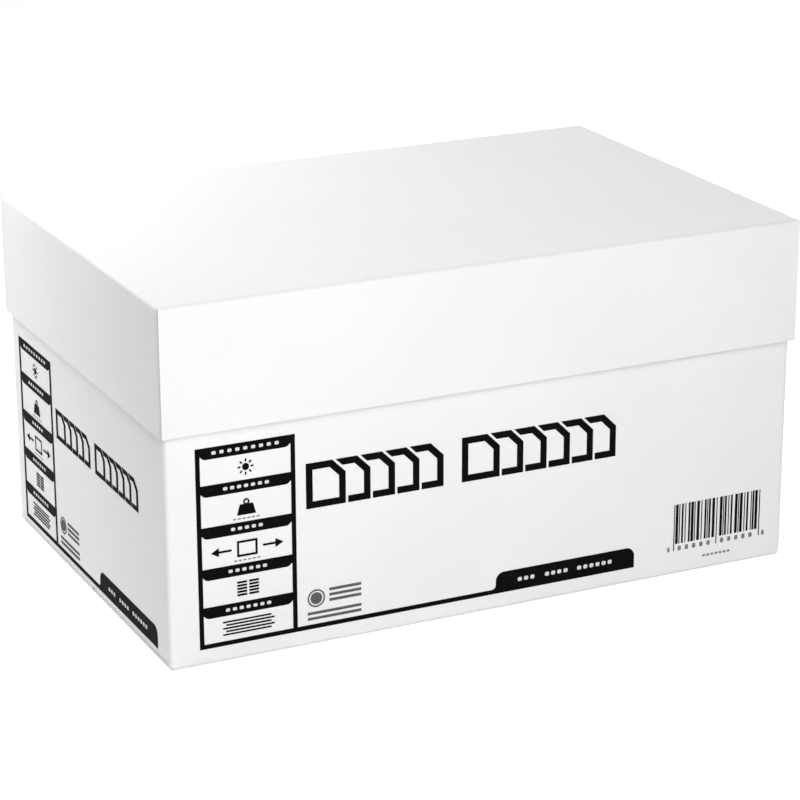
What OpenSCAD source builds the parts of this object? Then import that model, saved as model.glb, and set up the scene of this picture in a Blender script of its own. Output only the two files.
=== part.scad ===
// Carton of copy paper: a folded base with a lift-off lid, holding two stacks of wrapped reams.
// X runs along the long sides, the printed front faces -Y, and Z is up from the floor.

/* [Paper] */
// Width of a sheet
sheet_w = 215.9; // [200:0.1:230]
// Length of a sheet
sheet_l = 279.4; // [260:0.1:300]
// Thickness of one wrapped ream
ream_h = 45.5; // [40:0.5:56]
// Number of reams in each of the two stacks
stack_n = 5; // [4:1:6]
// Thickness of each folded layer of a ream's wrapper
wrap_t = 0.3; // [0.2:0.1:0.6]
// Rounding of a wrapped ream's edges
wrap_r = 1.2; // [0.5:0.1:2.5]
// Overlap of the two glued flaps on a ream's ends
wrap_lap = 14; // [8:1:20]

/* [Board] */
// Thickness of the base's corrugated board
board_t = 3; // [2:0.5:5]
// Inside radius of a fold
crease_r = 0.5; // [0.3:0.1:1]
// Thickness of the base's glued tab, crushed flat
tab_t = 1.5; // [0.8:0.1:2]
// Length of a glued tab
tab_l = 35; // [25:1:60]
// Set-back of a raw board edge from the face that it meets at a corner
edge_set = 0.6; // [0.3:0.1:1]
// Gap where the two outer bottom flaps meet
seam_gap = 1.5; // [0.5:0.5:4]
// Width of the slots cut between neighbouring bottom flaps
slot_w = 4; // [2:0.5:6]

/* [Fit] */
// Gap between the two stacks
stack_gap = 1.5; // [0.5:0.5:4]
// Gap between a ream's folded end and the wall
end_gap = 1; // [0.5:0.5:4]
// Gap between a stack and a glued tab
side_gap = 0.3; // [0.2:0.1:2]
// Gap between the top reams and the lid
head_gap = 1; // [0.5:0.5:5]
// Gap between base and lid on each side
lid_gap = 0.6; // [0.5:0.1:2]

/* [Lid] */
// Thickness of the lid's corrugated board
lid_t = 2; // [1.5:0.5:4]
// Thickness of the lid's glued tabs, crushed flat
lid_tab_t = 1; // [0.5:0.1:2]
// Depth of the lid, outside
lid_depth = 82.5; // [50:0.5:150]
// Gap between the upper edge of a corner tab and the top panel
tab_clear = 2; // [1.5:0.5:4]

/* [Printed panel] */
// Thickness of the ink
ink_t = 0.2; // [0.1:0.05:0.4]
// Width of the ruled panel
panel_w = 66; // [50:1:80]
// Height of the panel's foot above the floor
panel_foot = 11.4; // [8:0.1:20]
// Gap between the panel and the lid's rim
panel_drop = 10.6; // [4:0.1:30]
// Thickness of the panel's bars and of the rule along the foot
bar_t = 3; // [1:0.5:4]
// Height of a heading bar
head_h = 7.6; // [5:0.1:10]
// Rounding of a heading bar's lower corners
head_r = 4; // [1:0.5:5]
// Height of the marks in the panel's cells
mark_h = 10.5; // [6:0.5:12]
// Distance from the front face's left edge to the panel
front_panel_u = 20; // [10:1:40]
// Distance from the end face's left edge to the panel
end_panel_u = 15; // [10:1:40]
// Amount by which the end face's print stands lower than the front's
end_drop = 3; // [0:0.5:6]

/* [Row of sheets] */
// Height of the drawn sheets on the front
row_h = 30; // [15:1:40]
// Height of the row's foot above the floor
row_foot = 92.5; // [70:0.5:110]
// Width of a drawn sheet
page_w = 27; // [18:1:30]
// Step from one drawn sheet to the next
page_step = 17; // [12:1:24]
// Thickness of a drawn sheet's outline
page_line = 4.5; // [2:0.5:6]
// Size of the corner cut off a drawn sheet
page_ear = 9; // [6:0.5:12]
// White gap between overlapping drawn sheets
page_gap = 1.6; // [1:0.1:3]
// Gap between the two groups of sheets
row_gap = 13; // [8:1:24]
// Gap between the panel and the row
row_from_panel = 7; // [4:1:20]
// Size of the end face's row as a share of the front's
end_row_k = 0.7; // [0.5:0.05:0.75]

/* [Foot of the print] */
// Height of the solid tab
foot_tab_h = 14.4; // [10:0.1:18]
// Rounding of the tab's upper corners
foot_tab_r = 6; // [2:0.5:7]
// Hollow fillet where the rule meets the tab
foot_fillet_r = 3; // [1:0.5:4]
// Length of the front's rule, from the panel to the tab
front_rule_l = 140; // [100:1:180]
// Length of the front's tab
front_tab_l = 103; // [60:1:120]
// Length of the end's rule, from the panel to the tab
end_rule_l = 84; // [50:1:90]
// Length of the end's tab
end_tab_l = 104; // [60:1:110]
// Diameter of the round emblem
emblem_d = 12; // [8:0.5:14]
// Thickness of the emblem's ring, and of the white ring inside it
emblem_ring = 1; // [0.5:0.1:2]
// Gap between the emblem and the lines beside it, and between its lines and the rule
emblem_gap = 3; // [1:0.5:5]
// Length of the short lines beside the emblem
emblem_line_l = 22; // [14:1:30]
// Thickness of those lines
emblem_line_t = 1.8; // [1:0.1:2]

/* [Bars at the right] */
// Distance from the front face's right edge to the bars
code_from_right = 18; // [10:1:40]
// Width of the group of bars
code_w = 67; // [40:1:80]
// Height of the bars
code_h = 28; // [15:1:40]
// Height of the bars' foot above the floor
code_foot = 22.3; // [15:0.1:40]
// Extra length of the guard bars
code_guard = 5; // [2:0.5:8]
// Number of bars
code_n = 29; // [15:2:41]

/* [Hidden] */
$fn = 64;
bleed = 1;
white = [0.96, 0.96, 0.965];
wrapper = [0.9, 0.92, 0.94];
black = [0.07, 0.07, 0.07];

// Reams
ream_w = sheet_w + 2 * wrap_t;
end_layers = 3;
ream_l = sheet_l + 2 * end_layers * wrap_t;
wrap_over = (ream_h + wrap_lap) / 2;
stack_x = (ream_w + stack_gap) / 2;

// Base
base_in_l = 2 * ream_w + stack_gap + 2 * (tab_t + side_gap);
base_in_w = ream_l + 2 * end_gap;
base_l = base_in_l + 2 * board_t;
base_w = base_in_w + 2 * board_t;
floor_z = 2 * board_t;
base_h = floor_z + stack_n * ream_h + head_gap;
fold_r = bend_r(board_t);
wall_z = board_t + fold_r + crease_r;
flap_l = (base_w - seam_gap) / 2;
base_laps = [[1, 1]];
all_corners = [[1, 1], [1, -1], [-1, 1], [-1, -1]];

// Lid
lid_in_l = base_l + 2 * lid_gap;
lid_in_w = base_w + 2 * (lid_gap + lid_tab_t);
lid_l = lid_in_l + 2 * lid_t;
lid_w = lid_in_w + 2 * lid_t;
lid_z = base_h + lid_t - lid_depth;
lid_crease_r = min(crease_r, lid_gap);

// Printed panel
panel_h = lid_z - panel_drop - panel_foot;
cell_share = [17, 20, 20, 18, 17];
cell_n = len(cell_share);
cells_h = panel_h - cell_n * head_h - bar_t;
page_groups = [5, 6];

// Sum of a list's first n values
function total(v, n) = n == 0 ? 0 : v[n - 1] + total(v, n - 1);

// Outside radius of a fold in board of thickness t
function bend_r(t) = crease_r + t;

// Rectangle about the origin with rounded corners
module round_rect(l, w, r) {
    square([l - 2 * r, w], center = true);
    square([l, w - 2 * r], center = true);
    for (x = [-1, 1], y = [-1, 1])
        translate([x * (l / 2 - r), y * (w / 2 - r)]) circle(r);
}

// Section of a bend: a rectangle on the X axis with its two upper corners rounded
module bend_section(l, h, r) {
    intersection() {
        translate([-l / 2, 0]) square([l, h]);
        translate([0, h / 2 - r]) round_rect(l, h + 2 * r, r);
    }
}

// Puts children drawn for the corner at +X +Y on each corner of an l by w rectangle
module at_corners(l, w, corners) {
    for (c = corners)
        mirror([c.x < 0 ? 1 : 0, 0, 0]) mirror([0, c.y < 0 ? 1 : 0, 0])
            translate([l / 2, w / 2]) children();
}

// Outline of walls folded from one blank of board t thick, seen from above. At a lapped corner
// the wall along X bends inside the wall along Y, whose raw edge stops just short of its face.
module wall_outline(l, w, t, laps) {
    r = bend_r(t);
    difference() {
        round_rect(l, w, r);
        at_corners(l, w, laps) translate([-t - r, -r]) square([t + r + bleed, r + bleed]);
    }
    at_corners(l, w, laps) {
        translate([-t - r, -r]) circle(r);
        translate([-t, -r]) square([t, r - edge_set]);
        translate([-t - r / 2, -r]) square([r / 2, (r - edge_set) / 2]);
    }
}

// Space inside those walls, less the glued tabs
module wall_hollow(l, w, t, tab, laps) {
    difference() {
        round_rect(l - 2 * t, w - 2 * t, crease_r);
        at_corners(l, w, laps)
            translate([-t - tab, -bend_r(t) - tab_l]) square([tab + bleed, tab_l + bend_r(t)]);
    }
}

// Base's walls, seen from above
module base_walls() {
    difference() {
        wall_outline(base_l, base_w, board_t, base_laps);
        wall_hollow(base_l, base_w, board_t, tab_t, base_laps);
    }
}

// Outer bottom flap and the fold that joins it to the long wall at -Y. Beside a lapped corner
// it is one board shorter at its right end.
module outer_flap(laps) {
    left_end = -(base_l - slot_w) / 2;
    right_end = -left_end - len(laps) * board_t;
    intersection() {
        translate([left_end, 0, 0]) rotate([90, 0, 90]) linear_extrude(right_end - left_end)
            difference() {
                translate([0, wall_z]) mirror([0, 1]) bend_section(base_w, wall_z, fold_r);
                translate([0, wall_z + bleed]) mirror([0, 1])
                    bend_section(base_in_w, wall_z + bleed - board_t, crease_r);
                translate([-seam_gap / 2, -bleed]) square([base_w, wall_z + 2 * bleed]);
            }
        linear_extrude(wall_z) mirror([0, 1]) wall_outline(base_l, base_w, board_t, laps);
    }
}

// Inner bottom flaps and the folds that join them to the short walls
module inner_flaps() {
    fold_h = wall_z - board_t;
    translate([0, 0, board_t]) rotate([90, 0, 0])
        linear_extrude(base_w - 2 * fold_r, center = true)
            difference() {
                translate([0, fold_h]) mirror([0, 1]) bend_section(base_l, fold_h, fold_r);
                translate([0, fold_h + bleed]) mirror([0, 1])
                    bend_section(base_in_l, fold_h + bleed - board_t, crease_r);
                square([base_l - 2 * flap_l, 4 * board_t], center = true);
            }
}

// Base: walls, one glued corner at the back right, and two layers of flaps on the floor.
// The corners of the walls reach down to the ends of the slots between the flaps.
module carton_base() {
    color(white) {
        translate([0, 0, wall_z]) linear_extrude(base_h - wall_z) base_walls();
        translate([0, 0, board_t]) linear_extrude(wall_z - board_t) intersection() {
            base_walls();
            at_corners(base_l, base_w, all_corners)
                translate([-board_t - fold_r, -fold_r]) square([board_t + fold_r, fold_r]);
        }
        outer_flap([]);
        mirror([0, 1, 0]) outer_flap(base_laps);
        inner_flaps();
    }
}

// Lid: a top panel folded down into four skirts, with tabs of the short skirts glued inside
// the long ones
module carton_lid() {
    tab_top = lid_depth - lid_t - tab_clear;
    color(white) translate([0, 0, lid_z]) difference() {
        intersection() {
            linear_extrude(lid_depth) rotate(90) wall_outline(lid_w, lid_l, lid_t, all_corners);
            rotate([90, 0, 0]) linear_extrude(lid_w, center = true)
                bend_section(lid_l, lid_depth, bend_r(lid_t));
            rotate([90, 0, 90]) linear_extrude(lid_l, center = true)
                bend_section(lid_w, lid_depth, bend_r(lid_t));
        }
        translate([0, 0, -bleed]) linear_extrude(bleed + tab_top)
            rotate(90) wall_hollow(lid_w, lid_l, lid_t, lid_tab_t, all_corners);
        translate([0, 0, tab_top]) intersection() {
            linear_extrude(tab_clear) round_rect(lid_in_l, lid_in_w, crease_r);
            rotate([90, 0, 0]) linear_extrude(lid_w, center = true)
                bend_section(lid_in_l, tab_clear, lid_crease_r);
            rotate([90, 0, 90]) linear_extrude(lid_l, center = true)
                bend_section(lid_in_w, tab_clear, lid_crease_r);
        }
    }
}

// Wrapped block, l long with the wrapper's layers counted in, rounded on every edge
module wrapped_block(l) {
    intersection() {
        linear_extrude(ream_h) round_rect(ream_w, l, wrap_r);
        translate([0, 0, ream_h / 2]) rotate([90, 0, 0])
            linear_extrude(l, center = true) round_rect(ream_w, ream_h, wrap_r);
        translate([0, 0, ream_h / 2]) rotate([90, 0, 90])
            linear_extrude(ream_w, center = true) round_rect(l, ream_h, wrap_r);
    }
}

// Flap with mitred sides, folded from the upper edge of a ream's end
module mitred_flap() {
    polygon([
        [-ream_w / 2, ream_h],
        [ream_w / 2, ream_h],
        [ream_w / 2 - wrap_over, ream_h - wrap_over],
        [-ream_w / 2 + wrap_over, ream_h - wrap_over]
    ]);
}

// Layer of the folded ends, counted outwards, in the shape of its children
module end_layer(layer) {
    intersection() {
        wrapped_block(sheet_l + 2 * layer * wrap_t);
        for (side = [0, 1])
            mirror([0, side, 0]) translate([0, -sheet_l / 2 + 2 * wrap_r, 0]) rotate([90, 0, 0])
                linear_extrude(2 * wrap_r + ream_l - sheet_l) children();
    }
}

// Wrapped ream: side tucks, then the upper flap, then the lower flap glued over it
module ream() {
    wrapped_block(sheet_l);
    end_layer(1) for (x = [-1, 1])
        translate([x * (ream_w - wrap_over) / 2, ream_h / 2])
            square([wrap_over, ream_h], center = true);
    end_layer(2) mitred_flap();
    end_layer(3) translate([0, ream_h]) mirror([0, 1]) mitred_flap();
}

module ream_left(level) {
    color(wrapper) translate([-stack_x, 0, floor_z + (level - 1) * ream_h]) ream();
}

module ream_right(level) {
    color(wrapper) translate([stack_x, 0, floor_z + (level - 1) * ream_h]) ream();
}

// Panel's frame: side bars, foot bar and a heading bar over each cell
module panel_frame() {
    difference() {
        square([panel_w, panel_h]);
        for (i = [0:cell_n - 1]) {
            cell_h = cells_h * cell_share[i] / total(cell_share, cell_n);
            translate([panel_w / 2, panel_cell_z(i)]) cell_window(panel_w - 2 * bar_t, cell_h);
        }
    }
}

// Height of a cell's foot above the panel's foot, with cells counted from the top
function panel_cell_z(i) =
    panel_h - (i + 1) * head_h - cells_h * total(cell_share, i + 1) / total(cell_share, cell_n);

function panel_cell_mid(i) =
    panel_cell_z(i) + cells_h * cell_share[i] / total(cell_share, cell_n) / 2;

// White cell, whose upper edge follows the rounded corners of the heading bar above it
module cell_window(w, h) {
    translate([-w / 2, 0]) square([w, h]);
    for (x = [-1, 1]) mirror([x < 0 ? 1 : 0, 0]) difference() {
        translate([w / 2 - head_r, h]) square([head_r, head_r]);
        translate([w / 2 - head_r, h + head_r]) circle(head_r);
        translate([w / 2 - head_r, h + head_r / 2]) square([head_r, head_r]);
    }
}

// Sun: a disc with eight rays
module sun_mark() {
    circle(0.22 * mark_h);
    for (a = [0:45:315]) rotate(a)
        translate([0.32 * mark_h, -0.05 * mark_h]) square([0.18 * mark_h, 0.1 * mark_h]);
}

// Weight: a tapered block with a ring
module weight_mark() {
    translate([0, -mark_h / 2]) polygon([
        [-0.6 * mark_h, 0], [0.6 * mark_h, 0], [0.42 * mark_h, 0.66 * mark_h], [-0.42 * mark_h, 0.66 * mark_h]
    ]);
    translate([0, 0.3 * mark_h]) difference() {
        circle(0.2 * mark_h);
        circle(0.1 * mark_h);
    }
}

// Sheet between two arrows
module sheet_mark() {
    line = 0.13 * mark_h;
    difference() {
        square([1.3 * mark_h, mark_h], center = true);
        square([1.3 * mark_h - 2 * line, mark_h - 2 * line], center = true);
    }
    for (x = [-1, 1]) mirror([x < 0 ? 1 : 0, 0]) {
        translate([mark_h, -line / 2]) square([0.8 * mark_h, line]);
        translate([1.8 * mark_h, 0])
            polygon([[0, -0.28 * mark_h], [0.5 * mark_h, 0], [0, 0.28 * mark_h]]);
    }
}

// Two stacks of packs, as many as the carton holds
module stacks_mark() {
    step = mark_h / stack_n;
    for (x = [-1, 1], i = [0:stack_n - 1])
        translate([x * 0.38 * mark_h, (i + 0.5) * step - mark_h / 2])
            square([0.62 * mark_h, 0.62 * step], center = true);
}

// Loose pile of long sheets
module pile_mark() {
    sheets = 5;
    step = mark_h / sheets;
    for (i = [0:sheets - 1])
        translate([(i % 2 - 0.5) * step, (i + 0.5) * step - mark_h / 2])
            square([3.1 * mark_h, 0.5 * step], center = true);
}

// Ruled panel with a plain mark in each cell
module panel() {
    panel_frame();
    translate([panel_w / 2, panel_cell_mid(0)]) sun_mark();
    translate([panel_w / 2, panel_cell_mid(1)]) weight_mark();
    translate([panel_w / 2, panel_cell_mid(2)]) sheet_mark();
    translate([panel_w / 2, panel_cell_mid(3)]) stacks_mark();
    translate([panel_w / 2, panel_cell_mid(4)]) pile_mark();
}

// Sheet with its upper right corner cut off, grown by g on every side
module page(g) {
    cut = page_ear + g * (2 - sqrt(2));
    translate([-g, -g]) polygon([
        [0, 0],
        [page_w + 2 * g, 0],
        [page_w + 2 * g, row_h + 2 * g - cut],
        [page_w + 2 * g - cut, row_h + 2 * g],
        [0, row_h + 2 * g]
    ]);
}

// Outline of a sheet
module page_outline() {
    difference() {
        page(0);
        page(-page_line);
    }
}

// Fanned sheets, each one behind the sheet at its left
module fan(pages) {
    for (i = [0:pages - 1]) translate([i * page_step, 0]) difference() {
        page_outline();
        if (i > 0) translate([-page_step, 0]) page(page_gap);
    }
}

// Row of fanned sheets in two groups
module sheet_row() {
    first_l = page_w + (page_groups[0] - 1) * page_step;
    fan(page_groups[0]);
    translate([first_l + row_gap, 0]) fan(page_groups[1]);
}

// Rule along the foot that ends in a solid tab
module rule_and_tab(rule_l, solid_l) {
    square([rule_l + foot_tab_r, bar_t]);
    translate([rule_l, 0]) {
        square([solid_l, foot_tab_h - foot_tab_r]);
        translate([foot_tab_r, 0]) square([solid_l - 2 * foot_tab_r, foot_tab_h]);
        for (x = [foot_tab_r, solid_l - foot_tab_r])
            translate([x, foot_tab_h - foot_tab_r]) circle(foot_tab_r);
        translate([-foot_fillet_r, bar_t]) difference() {
            square(foot_fillet_r);
            translate([0, foot_fillet_r]) circle(foot_fillet_r);
        }
    }
}

// Plain ringed disc with five short lines
module emblem() {
    line_step = 2 * emblem_line_t;
    lines_x = emblem_d + emblem_gap;
    translate([emblem_d / 2, 4 * line_step]) {
        difference() {
            circle(emblem_d / 2);
            circle(emblem_d / 2 - emblem_ring);
        }
        circle(emblem_d / 2 - 2 * emblem_ring);
    }
    for (i = [0:2])
        translate([lines_x, (3 + i) * line_step]) square([emblem_line_l, emblem_line_t]);
    for (i = [0:1])
        translate([0, i * line_step]) square([lines_x + emblem_line_l, emblem_line_t]);
}

// Widths of the bars and of the gaps after them, in equal modules
function code_bar(i) = 1 + (i * 5 % 7) % 3;
function code_space(i) = 1 + (i * 3 % 5) % 3;
function code_at(i) = i == 0 ? 0 : code_at(i - 1) + code_bar(i - 1) + code_space(i - 1);

// Plain bars of uneven width, with a longer one at each end and in the middle
module code_bars() {
    unit = code_w / (code_at(code_n - 1) + code_bar(code_n - 1));
    for (i = [0:code_n - 1]) {
        guard = i % ((code_n - 1) / 2) == 0 ? code_guard : 0;
        translate([code_at(i) * unit, -guard]) square([code_bar(i) * unit, code_h + guard]);
    }
}

// What both printed faces share: panel, row of sheets, rule, tab and emblem
module face_print(panel_u, row_k, rule_l, solid_l) {
    right_u = panel_u + panel_w;
    translate([panel_u, panel_foot]) {
        panel();
        translate([panel_w - bar_t, 0]) rule_and_tab(rule_l + bar_t, solid_l);
    }
    translate([right_u + row_from_panel, row_foot]) scale(row_k) sheet_row();
    translate([right_u + row_from_panel, panel_foot + bar_t + emblem_gap]) emblem();
}

// Printing on the long front face
module front_print() {
    color(black) translate([-base_l / 2, -base_w / 2, 0]) rotate([90, 0, 0]) linear_extrude(ink_t) {
        face_print(front_panel_u, 1, front_rule_l, front_tab_l);
        translate([base_l - code_from_right - code_w, code_foot]) code_bars();
    }
}

// Printing on the short end face at the left
module end_print() {
    color(black) translate([-base_l / 2, base_w / 2, -end_drop]) rotate([90, 0, -90]) linear_extrude(ink_t)
        face_print(end_panel_u, end_row_k, end_rule_l, end_tab_l);
}

carton_base();
carton_lid();
front_print();
end_print();
for (i = [1:stack_n]) {
    ream_left(i);
    ream_right(i);
}
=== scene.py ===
# Carton of copy paper with a lift-off lid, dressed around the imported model. Metres throughout.
import math

import bmesh
import bpy
from mathutils import Euler, Matrix, Vector


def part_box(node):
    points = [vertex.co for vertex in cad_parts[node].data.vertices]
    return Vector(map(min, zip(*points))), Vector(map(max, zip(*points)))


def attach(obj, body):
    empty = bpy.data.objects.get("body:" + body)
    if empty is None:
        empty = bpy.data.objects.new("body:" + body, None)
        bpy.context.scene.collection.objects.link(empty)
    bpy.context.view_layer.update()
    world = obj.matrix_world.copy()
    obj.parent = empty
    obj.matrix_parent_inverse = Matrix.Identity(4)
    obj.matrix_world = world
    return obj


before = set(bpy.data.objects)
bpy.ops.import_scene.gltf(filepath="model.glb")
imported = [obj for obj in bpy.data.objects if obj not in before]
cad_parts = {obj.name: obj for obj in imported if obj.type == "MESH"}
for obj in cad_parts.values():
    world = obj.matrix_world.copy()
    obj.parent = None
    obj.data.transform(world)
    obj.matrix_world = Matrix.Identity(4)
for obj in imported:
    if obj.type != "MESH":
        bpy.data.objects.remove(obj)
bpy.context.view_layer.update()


# The base is folded and glued from one blank of corrugated board about 3 mm thick. Its flutes run
# up the walls, so they show as open waves on the cut rim. The outside is a smooth bleached liner
# and the inside a duller one, and the folds show fine stretch marks.
class Wire:
    """A shader socket. Arithmetic on it adds the Math nodes that work it out."""

    def __init__(self, socket):
        self.socket = socket

    def math(self, operation, *others):
        tree = self.socket.id_data
        node = tree.nodes.new("ShaderNodeMath")
        node.operation = operation
        for slot, value in zip(node.inputs, (self, *others)):
            plug(tree, slot, value)
        return Wire(node.outputs[0])

    def __add__(self, other):
        return self.math("ADD", other)

    def __sub__(self, other):
        return self.math("SUBTRACT", other)

    def __rsub__(self, other):
        return (self * -1).math("ADD", other)

    def __mul__(self, other):
        return self.math("MULTIPLY", other)

    def __gt__(self, other):
        return self.math("GREATER_THAN", other)

    def __lt__(self, other):
        return self.math("LESS_THAN", other)

    def __or__(self, other):
        return self.math("MAXIMUM", other)

    def __and__(self, other):
        return self.math("MINIMUM", other)

    def __abs__(self):
        return self.math("ABSOLUTE")

    __radd__ = __add__
    __rmul__ = __mul__

    def wave(self, length):
        return (self * (2 * math.pi / length)).math("SINE")

    def rise(self, start, end):
        """0 at start and 1 at end, with a soft rise between them."""
        tree = self.socket.id_data
        node = tree.nodes.new("ShaderNodeMapRange")
        node.interpolation_type = "SMOOTHSTEP"
        for slot, value in zip(node.inputs, (self, start, end, 0.0, 1.0)):
            plug(tree, slot, value)
        return Wire(node.outputs[0])


def plug(tree, slot, value):
    if isinstance(value, Wire):
        tree.links.new(value.socket, slot)
    else:
        slot.default_value = value


class Finish:
    """A material under construction on the Principled shader."""

    def __init__(self, name, **constants):
        self.material = bpy.data.materials.new(name)
        self.material.use_nodes = True
        self.tree = self.material.node_tree
        self.shader = self.tree.nodes["Principled BSDF"]
        self.set(constants)
        place = self.tree.nodes.new("ShaderNodeTexCoord")
        self.point = Wire(place.outputs["Object"])
        self.x, self.y, self.z = self.split(self.point)
        self.nx, self.ny, self.nz = self.split(Wire(place.outputs["Normal"]))

    def node(self, kind, settings, sockets, out=0):
        node = self.tree.nodes.new("ShaderNode" + kind)
        for key, value in settings.items():
            setattr(node, key, value)
        for key, value in sockets.items():
            plug(self.tree, node.inputs[key], value)
        return Wire(node.outputs[out])

    def split(self, vector):
        node = self.node("SeparateXYZ", {}, {0: vector}).socket.node
        return [Wire(socket) for socket in node.outputs]

    def stretch(self, x, y, z):
        """The point with each coordinate multiplied, for patterns longer one way."""
        return self.node("VectorMath", {"operation": "MULTIPLY"}, {0: self.point, 1: (x, y, z)})

    def noise(self, size, detail=2.0, point=None):
        sockets = {"Vector": point or self.point, "Scale": 1 / size, "Detail": detail}
        return self.node("TexNoise", {}, sockets)

    def mix(self, share, first, second):
        return self.node("Mix", {"data_type": "RGBA"}, {0: share, 6: first, 7: second}, out=2)

    def relief(self, height):
        """Normal of a surface that stands height metres proud."""
        return self.node("Bump", {}, {"Strength": 1.0, "Distance": 1.0, "Height": height})

    def set(self, sockets):
        for key, value in sockets.items():
            plug(self.tree, self.shader.inputs[key], value)

    def give(self, *names):
        for name in names:
            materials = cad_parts[name].data.materials
            materials.clear()
            materials.append(self.material)


def choose(mask, yes, no):
    """The value yes where mask is 1, and no where it is 0."""
    return no + mask * (yes - no)


LINER_T = 0.0003  # a liner's thickness, and how near a surface a point counts as on it
MEDIUM_INSET = 0.0005  # from the board's face to the crests of the waved medium
ALONG_FLUTES = 1.0  # a wave so long that the medium shows as one straight line
GREYED = (0.86, 0.86, 0.865, 1)


def cut_paper(depth, along, thick, flute):
    """Paper on a cut edge: two liners, and between them the waved medium seen end-on."""
    from_middle = depth - thick / 2
    liners = abs(from_middle) > thick / 2 - LINER_T
    crest = along.wave(flute) * (thick / 2 - MEDIUM_INSET)
    medium = abs(from_middle - crest).rise(0.0003, 0.00012)
    return liners | medium


def dress_board(finish, across, inside, cuts, flute):
    """Liners, folds and cut edges of one blank. across is the way over the flutes, inside a mask,
    and cuts are pairs of mask and paper share."""
    flat = abs(finish.nx) | abs(finish.ny) | abs(finish.nz)
    fold = flat.rise(0.995, 0.93)
    cloud = finish.noise(0.09, 3.0)
    fibre = finish.noise(0.0011, 4.0)
    speck = finish.noise(0.0042, 2.0)
    liner = finish.mix(cloud.rise(0.3, 0.7), (0.918, 0.923, 0.933, 1), (0.940, 0.943, 0.950, 1))
    liner = finish.mix(speck.rise(0.66, 0.78) * 0.35, liner, GREYED)
    worn = fold * finish.noise(0.04, 2.0).rise(0.3, 0.7)
    liner = finish.mix(worn * 0.2, liner, GREYED)
    dull = finish.mix(fibre.rise(0.35, 0.7), (0.80, 0.795, 0.78, 1), (0.86, 0.855, 0.84, 1))
    colour = finish.mix(inside, liner, dull)
    cut = inside * 0
    for mask, paper in cuts:
        # The darker of the two edge colours is painted shade for the open flute hollows between the
        # liners and the medium; the paler one is the cut paper itself.
        edge = finish.mix(paper, (0.50, 0.495, 0.48, 1), (0.84, 0.835, 0.82, 1))
        colour = finish.mix(mask, colour, edge)
        cut = cut | mask
    washboard = across.wave(flute) * (1 - (cut | fold)) * 0.000010
    sag = finish.noise(0.12, 1.0) * 0.00035
    marks = finish.noise(0.0016, 3.0) * fold * 0.000012
    height = washboard + sag + marks + fibre * choose(cut | inside, 0.00003, 0.000006)
    finish.set({
        "Base Color": colour,
        "Roughness": choose(cut | inside, 0.85, 0.58 + cloud * 0.08 + fold * 0.1),
        "Normal": finish.relief(height),
    })


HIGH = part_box("carton_base")[1]
HALF_L, HALF_W, RIM = HIGH.x, HIGH.y, HIGH.z
BASE_T, BASE_FLUTE = 0.003, 0.0062

base = Finish("white_base_board", IOR=1.5)
long_depth, short_depth = HALF_W - abs(base.y), HALF_L - abs(base.x)
depth = long_depth & short_depth
on_long = abs(base.ny) > abs(base.nx)
rim = (base.nz > 0.5) & (base.z > RIM - LINER_T)
rim_along = choose(long_depth < short_depth, base.x, base.y)
seam = (abs(base.ny) > 0.5) & (abs(base.y) < 0.002) & (base.z < BASE_T + 0.0001)
at_lap = (base.y > 0) & (base.y < HALF_W - 0.0004) & (base.x > HALF_L - BASE_T)
lap = at_lap & (base.ny > 0.5)
dress_board(
    base,
    choose(on_long | (abs(base.nz) > 0.5), base.x, base.y),
    (depth > BASE_T * 0.6) & (base.z > BASE_T * 0.6),
    [
        (rim, cut_paper(depth, rim_along, BASE_T, BASE_FLUTE)),
        (seam, cut_paper(base.z, base.x, BASE_T, BASE_FLUTE)),
        (lap, cut_paper(short_depth, base.z, BASE_T, ALONG_FLUTES)),
    ],
    BASE_FLUTE,
)
base.give("carton_base")

# The lid is a shallower blank of thinner board. Its flutes run the long way of the top, so the
# short skirts show them on their rims and the long skirts on their cut ends at the corners, where
# tabs of the short skirts are glued inside.
LID_LOW, LID_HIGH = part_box("carton_lid")
LID_L, LID_W, LID_RIM, LID_TOP = LID_HIGH.x, LID_HIGH.y, LID_LOW.z, LID_HIGH.z
LID_T, LID_FLUTE = 0.002, 0.0042

lid = Finish("white_lid_board", IOR=1.5)
long_depth, short_depth = LID_W - abs(lid.y), LID_L - abs(lid.x)
depth = long_depth & short_depth
on_long = (abs(lid.ny) > abs(lid.nx)) & (abs(lid.nz) < 0.5)
rim = (lid.nz < -0.5) & (lid.z < LID_RIM + LINER_T)
rim_along = choose(long_depth < short_depth, LID_FLUTE / 4, lid.y)
set_back = (short_depth > LINER_T) & (short_depth < 0.0015)
ends = (abs(lid.nx) > 0.5) & (long_depth < LID_T) & set_back
dress_board(
    lid,
    choose(on_long, lid.z, lid.y),
    (depth > LID_T * 0.6) & (lid.z < LID_TOP - LID_T * 0.6),
    [
        (rim, cut_paper(depth, rim_along, LID_T, LID_FLUTE)),
        (ends, cut_paper(long_depth, lid.z, LID_T, LID_FLUTE) | 0.9),
    ],
    LID_FLUTE,
)
lid.give("carton_lid")

# Each ream is wrapped in smooth white paper with a thin moisture coat. The wrapper is pulled tight
# over 500 sheets, so it has a few soft creases near the folded ends and nowhere else.
wrapper = Finish("ream_wrapper_paper", IOR=1.5, **{"Coat Weight": 0.25, "Coat Roughness": 0.25})
near_end = abs(wrapper.y).rise(0.105, 0.139)
crease = wrapper.noise(0.05, 3.0, wrapper.stretch(2.2, 0.5, 2.2))
ridge = abs(crease - 0.5).rise(0.03, 0.0)
tone = wrapper.noise(0.07, 3.0)
wrapper.set({
    "Base Color": wrapper.mix(tone.rise(0.3, 0.7), (0.86, 0.88, 0.905, 1), (0.90, 0.915, 0.935, 1)),
    "Roughness": 0.36 + tone * 0.1,
    "Normal": wrapper.relief(
        ridge * near_end * 0.0002 + crease * 0.0008 + wrapper.noise(0.0009, 3.0) * 0.000004
    ),
})
wrapper.give(*[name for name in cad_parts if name.startswith("ream_")])

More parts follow.
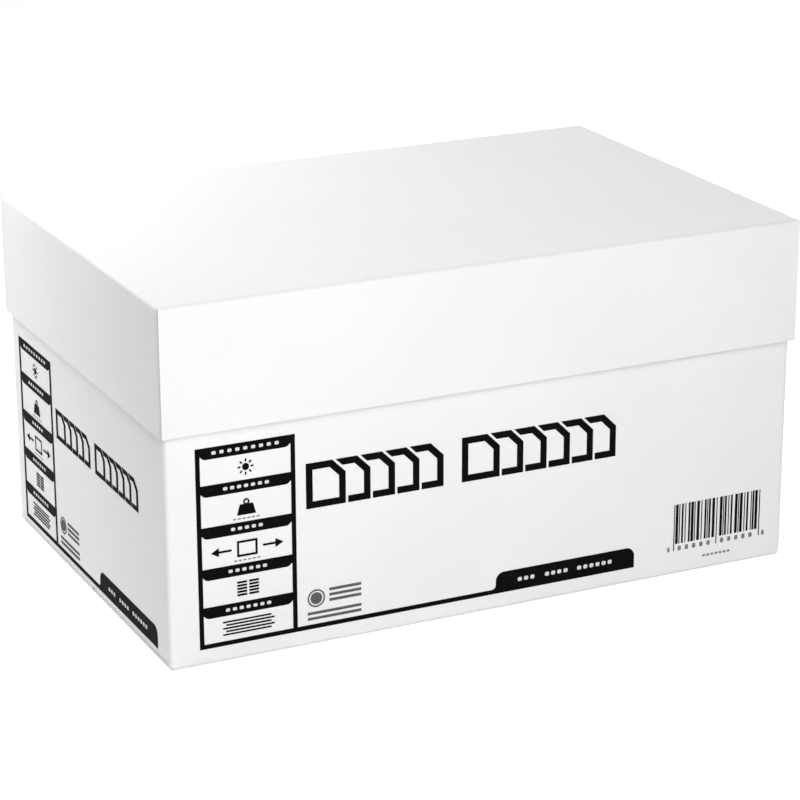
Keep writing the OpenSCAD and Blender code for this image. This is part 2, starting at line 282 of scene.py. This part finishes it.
# The marks are printed straight on the board in one flat black ink. It lies matt, a little thin
# over the flutes, and the small round emblem and its lines are screened to a dark grey.
INK_T, END_DROP = 0.0002, 0.003
PANEL_W, FRONT_PANEL_U, END_PANEL_U = 0.066, 0.020, 0.015
EMBLEM_U, EMBLEM_V = (0.0065, 0.05), (0.0165, 0.05)

ink = Finish("black_printing_ink", IOR=1.45, **{"Specular IOR Level": 0.02})
on_front = abs(ink.ny) > abs(ink.nx)
across = choose(on_front, ink.x, ink.y)
mottle = ink.noise(0.0024, 3.0)
thin = mottle.rise(0.62, 0.8) * 0.5 + ink.noise(0.03, 2.0).rise(0.45, 0.8) * 0.25
black = ink.mix(thin, (0.004, 0.004, 0.0045, 1), (0.013, 0.013, 0.0135, 1))
front_u, end_u = ink.x + HALF_L, HALF_W - ink.y
from_panel = choose(on_front, front_u - FRONT_PANEL_U, end_u - END_PANEL_U) - PANEL_W
height = ink.z + choose(on_front, 0.0, END_DROP)
in_width = (from_panel > EMBLEM_U[0]) & (from_panel < EMBLEM_U[1])
emblem = in_width & (height > EMBLEM_V[0]) & (height < EMBLEM_V[1])
screen = (across.wave(0.0011) + ink.z.wave(0.0011)).rise(0.35, 0.75)
ink.set({
    "Base Color": ink.mix(emblem * (0.05 + 0.3 * screen), black, (0.9, 0.9, 0.9, 1)),
    "Roughness": 0.5 + mottle * 0.12,
    "Normal": ink.relief(across.wave(BASE_FLUTE) * 0.000012 + mottle * 0.000008),
})
ink.give("front_print", "end_print")

# Rows of short strokes finish the printed marks. The pale ones in the heading bars and the solid
# tab are bare board left open in the ink, and the grey ones in the cells and round the bars are
# thin print. FACES gives each face's panel u and tab u, and a row of strokes is first u, foot v,
# width, height, step and count.
PANEL_FOOT, BAR_T, HEAD_H = 0.0114, 0.003, 0.0076
CELLS = (0.0168, 0.0198, 0.0198, 0.0178, 0.0168)
HEAD_STROKES = (9, 7, 5, 6, 7)
HEAD_STROKE_W, HEAD_STROKE_H, STROKE_STEP, STROKE_T = 0.0028, 0.0022, 0.0046, 0.0001
FACES = (("front", FRONT_PANEL_U, 0.226), ("end", END_PANEL_U, 0.165))
TAB_STROKES = ((0.016, 3), (0.036, 4), (0.060, 6))
BAR_STROKES = [
    (0.3545, 0.0172, 0.0018, 0.0034, 0.0040, 1),
    (0.3625, 0.0172, 0.0026, 0.0034, 0.0056, 5),
    (0.3955, 0.0172, 0.0026, 0.0034, 0.0056, 5),
    (0.4282, 0.0172, 0.0018, 0.0034, 0.0040, 1),
    (0.3820, 0.0095, 0.0022, 0.0016, 0.0032, 7),
]


def on_face(face, u, v, proud):
    """A point u from the printed face's left edge and v up from the floor. The end's print stands
    a little lower than the front's."""
    if face == "front":
        return Vector((u - HALF_L, -HALF_W - proud, v))
    return Vector((-HALF_L - proud, HALF_W - u, v - END_DROP))


def strokes(name, face, rows, proud, finish):
    """One piece made of rows of short strokes with rounded corners."""
    mesh = bmesh.new()
    turn = Matrix.Identity(4) if face == "front" else Matrix.Rotation(math.radians(-90), 4, "Z")
    outward = turn @ Vector((0, 1, 0))
    for u, v, width, height, step, count in rows:
        for i in range(count):
            centre = on_face(face, u + i * step + width / 2, v + height / 2, proud)
            size = Matrix.Diagonal((width, STROKE_T, height, 1))
            place = Matrix.Translation(centre) @ turn @ size
            made = bmesh.ops.create_cube(mesh, size=1, matrix=place)
            corners = dict.fromkeys(
                edge for vert in made["verts"] for edge in vert.link_edges
                if abs((edge.verts[0].co - edge.verts[1].co).normalized().dot(outward)) > 0.9
            )
            bmesh.ops.bevel(mesh, geom=list(corners), offset=min(width, height) * 0.3,
                            segments=2, affect="EDGES", profile=0.5, material=-1)
    data = bpy.data.meshes.new(name)
    mesh.to_mesh(data)
    mesh.free()
    piece = bpy.data.objects.new(name, data)
    bpy.context.scene.collection.objects.link(piece)
    data.materials.append(finish.material)
    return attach(piece, "base")


open_board = Finish("open_board_in_print", IOR=1.5)
grain = open_board.noise(0.0011, 3.0)
open_board.set({
    "Base Color": open_board.mix(grain, (0.62, 0.62, 0.63, 1), GREYED),
    "Roughness": 0.55 + grain * 0.1,
})
thin_ink = Finish("thin_grey_print", IOR=1.45, **{"Specular IOR Level": 0.2})
grain = thin_ink.noise(0.03, 2.0)
thin_ink.set({
    "Base Color": thin_ink.mix(grain.rise(0.3, 0.7), (0.16, 0.16, 0.16, 1), (0.24, 0.24, 0.24, 1)),
    "Roughness": 0.5 + grain * 0.1,
})

for face, panel_u, tab_u in FACES:
    pale, grey = [], []
    top = PANEL_FOOT + BAR_T + sum(CELLS) + len(CELLS) * HEAD_H
    for i, (cell, count) in enumerate(zip(CELLS, HEAD_STROKES)):
        foot = top - HEAD_H
        step = 0.0052 if i == 0 else STROKE_STEP
        start = panel_u + (PANEL_W - (count - 1) * step - HEAD_STROKE_W) / 2
        pale.append((start, foot + 0.0027, HEAD_STROKE_W, HEAD_STROKE_H, step, count))
        if i in (1, 2):
            grey.append((panel_u + 0.024, foot - cell + 0.0018, 0.0022, 0.0009, 0.0031, 6))
        top = foot - cell
    for first, count in TAB_STROKES:
        pale.append((tab_u + first, PANEL_FOOT + 0.0058, 0.0030, 0.0028, STROKE_STEP, count))
    if face == "front":
        grey += BAR_STROKES
    strokes(face + "_open_strokes", face, pale, INK_T, open_board)
    strokes(face + "_grey_strokes", face, grey, 0.0, thin_ink)

# The carton stands alone on a plain white floor under soft studio lamps, with a white background.
FLOOR_HALF, GLOW_SHARE, GLOW = 6, 0.45, 1.88

floor_finish = Finish("pale_floor", IOR=1.4, Roughness=0.9)
drift = floor_finish.noise(0.4, 1.0)
floor_finish.set({
    "Base Color": floor_finish.mix(drift, (0.85, 0.85, 0.85, 1), (0.87, 0.87, 0.87, 1)),
})
tree = floor_finish.tree
path = tree.nodes.new("ShaderNodeLightPath")
seen = Wire(path.outputs["Is Camera Ray"]) | Wire(path.outputs["Is Glossy Ray"])
glow = tree.nodes.new("ShaderNodeEmission")
blend = tree.nodes.new("ShaderNodeMixShader")
plug(tree, blend.inputs[0], seen * GLOW_SHARE)
glow.inputs["Strength"].default_value = GLOW
tree.links.new(floor_finish.shader.outputs[0], blend.inputs[1])
tree.links.new(glow.outputs[0], blend.inputs[2])
tree.links.new(blend.outputs[0], tree.nodes["Material Output"].inputs["Surface"])
mesh = bmesh.new()
bmesh.ops.create_grid(mesh, x_segments=1, y_segments=1, size=FLOOR_HALF)
data = bpy.data.meshes.new("floor")
mesh.to_mesh(data)
mesh.free()
data.materials.append(floor_finish.material)
floor = bpy.data.objects.new("floor", data)
bpy.context.scene.collection.objects.link(floor)

# The lamps are listed with their place, aim, width and power. The world adds a weak even light and
# shows white behind the object.
world = bpy.data.worlds.new("studio")
bpy.context.scene.world = world
world.use_nodes = True
tree = world.node_tree
path = tree.nodes.new("ShaderNodeLightPath")
seen = Wire(path.outputs["Is Camera Ray"]) | Wire(path.outputs["Is Glossy Ray"])
seen = seen | Wire(path.outputs["Is Transmission Ray"])
AMBIENT = 0.09
plug(tree, tree.nodes["Background"].inputs["Color"], (1, 1, 1, 1))
plug(tree, tree.nodes["Background"].inputs["Strength"], choose(seen, 1.0, AMBIENT))

LAMPS = (
    ("high", (-0.22, -1.22, 1.38), (-0.1, 0, 0.12), 0.7, 8.0),
    ("key", (-0.25, -1.22, 0.64), (-0.15, 0, 0.12), 0.4, 6.6),
    ("side", (-0.42, 0.8, 1.05), (-0.15, 0.1, 0.2), 0.4, 5.2),
    ("low_side", (-0.5, 0.36, 0.5), (-0.15, 0.1, 0.12), 0.4, 1.85),
    ("back", (1.1, 1.6, 1.2), (0, 0, 0.1), 1.2, 5.0),
    ("fill", (1.8, -1.2, 0.9), (0, 0, 0.1), 1.2, 0.4),
    ("right", (1.5, 0.4, 0.5), (0.2, 0, 0.12), 1.0, 6.0),
)
for name, place, aim, size, power in LAMPS:
    lamp = bpy.data.lights.new(name, "AREA")
    lamp.size, lamp.energy = size, power
    holder = bpy.data.objects.new(name, lamp)
    holder.location = place
    holder.rotation_euler = (Vector(aim) - Vector(place)).to_track_quat("-Z", "Y").to_euler()
    holder.visible_camera = False
    bpy.context.scene.collection.objects.link(holder)

# The camera stands a little above the lid, off the carton's front left corner, with a long lens.
view = bpy.data.cameras.new("camera")
view.lens, view.sensor_width = 128.25, 36
view.clip_start, view.clip_end = 0.05, 50
camera = bpy.data.objects.new("camera", view)
tilt, swing, roll = (math.radians(angle) for angle in (90 - 18.96, -25.55, -0.18))
turn = Euler((tilt, 0, swing)).to_matrix().to_4x4()
place = Matrix.Translation((-0.7878, -1.6579, 0.7307))
camera.matrix_world = place @ turn @ Matrix.Rotation(roll, 4, "Z")
bpy.context.scene.collection.objects.link(camera)
bpy.context.scene.camera = camera
bpy.context.scene.view_settings.view_transform = "Standard"
